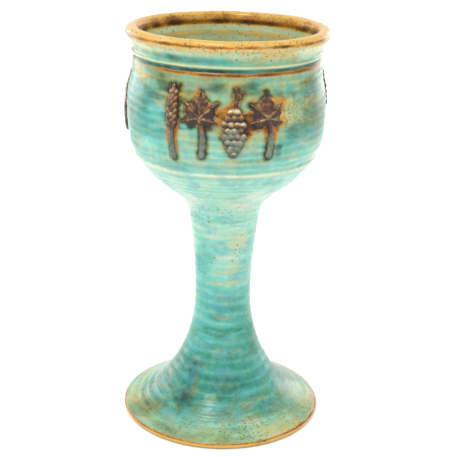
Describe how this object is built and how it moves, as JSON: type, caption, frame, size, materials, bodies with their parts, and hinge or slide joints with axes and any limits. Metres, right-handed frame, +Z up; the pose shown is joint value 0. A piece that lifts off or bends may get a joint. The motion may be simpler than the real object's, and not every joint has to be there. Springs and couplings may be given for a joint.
{
  "type": "stemmed stoneware chalice",
  "caption": "Wheel-thrown stoneware chalice: a rounded bowl with a rolled lip and applied clay sprigs, on a flared, hollow stem.",
  "frame": {"origin": "centre of the foot ring's resting plane", "axes": "+Z up along the axis the chalice was turned on, -Y towards the front group of sprigs"},
  "size_m": [0.087, 0.087, 0.1705],
  "materials": {
    "turquoise_glaze": "glossy mottled turquoise glaze breaking to tan on edges",
    "iron_brown_glaze": "glossy iron-brown glaze with orange breaks",
    "bare_stoneware": "matt toasted stoneware with iron specks"
  },
  "bodies": {
    "root": {"bowl": "turquoise_glaze", "stem": "turquoise_glaze", "joint_coil": "turquoise_glaze", "joint_slip": "bare_stoneware", "front_wheat_ear": "iron_brown_glaze", "front_leaf_left": "iron_brown_glaze", "front_grapes": "iron_brown_glaze", "front_leaf_right": "iron_brown_glaze", "right_wheat_ear": "iron_brown_glaze", "right_grapes": "iron_brown_glaze", "right_leaf": "iron_brown_glaze", "left_wheat_ear": "iron_brown_glaze", "left_leaf_rear": "iron_brown_glaze", "left_grapes": "iron_brown_glaze", "left_leaf_front": "iron_brown_glaze"}
  },
  "joints": []
}
